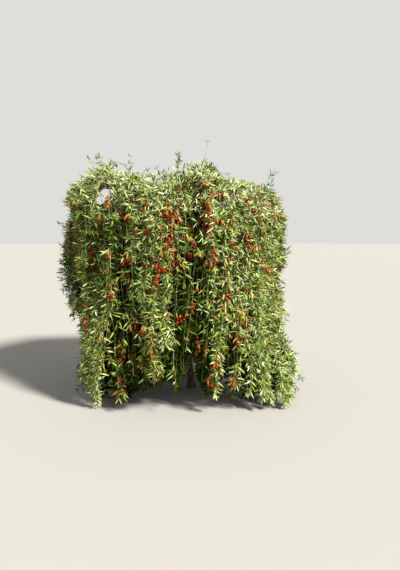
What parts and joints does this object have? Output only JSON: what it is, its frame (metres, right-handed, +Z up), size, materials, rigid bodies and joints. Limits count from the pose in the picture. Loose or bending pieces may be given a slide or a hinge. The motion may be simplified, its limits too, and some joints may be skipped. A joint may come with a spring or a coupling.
{
  "type": "goji berry bush",
  "caption": "Weeping goji berry bush, rooted in level ground: a leaning trunk forks into boughs that carry a lumpy canopy, with leafy fruiting shoots hanging to the ground round an open space.",
  "frame": {"origin": "middle of the trunk's flat foot, at ground level", "axes": "+Z up; -Y towards the front of the bush, the side with the trunk's opening; +X to the bush's right as seen from the front"},
  "size_m": [1.6072, 1.442, 1.707],
  "materials": {
    "foliage": "narrow grey-green leaves with hanging red-orange berries",
    "bark": "rough, fissured grey-brown bark"
  },
  "bodies": {
    "root": {"bough_back_left": "bark", "bough_back_right": "bark", "bough_front_left": "bark", "bough_front_right": "bark", "bough_leader": "bark", "bough_left": "bark", "bough_right": "bark", "canopy_back": "foliage", "canopy_back_left": "foliage", "canopy_back_right": "foliage", "canopy_front": "foliage", "canopy_front_left": "foliage", "canopy_front_right": "foliage", "canopy_left": "foliage", "canopy_middle": "foliage", "canopy_middle_left": "foliage", "canopy_right": "foliage", "hang_back": "foliage", "hang_back_left": "foliage", "hang_back_right": "foliage", "hang_front_left": "foliage", "hang_front_mid_left": "foliage", "hang_front_mid_right": "foliage", "hang_front_right": "foliage", "hang_left": "foliage", "hang_left_far": "foliage", "hang_left_near": "foliage", "hang_right": "foliage", "hang_right_low": "foliage", "hang_right_near": "foliage", "hang_tail_left": "foliage", "hang_tail_right": "foliage", "shoot_leader": "foliage", "shoot_middle": "foliage", "shoot_right": "foliage", "trunk": "bark"}
  },
  "joints": []
}
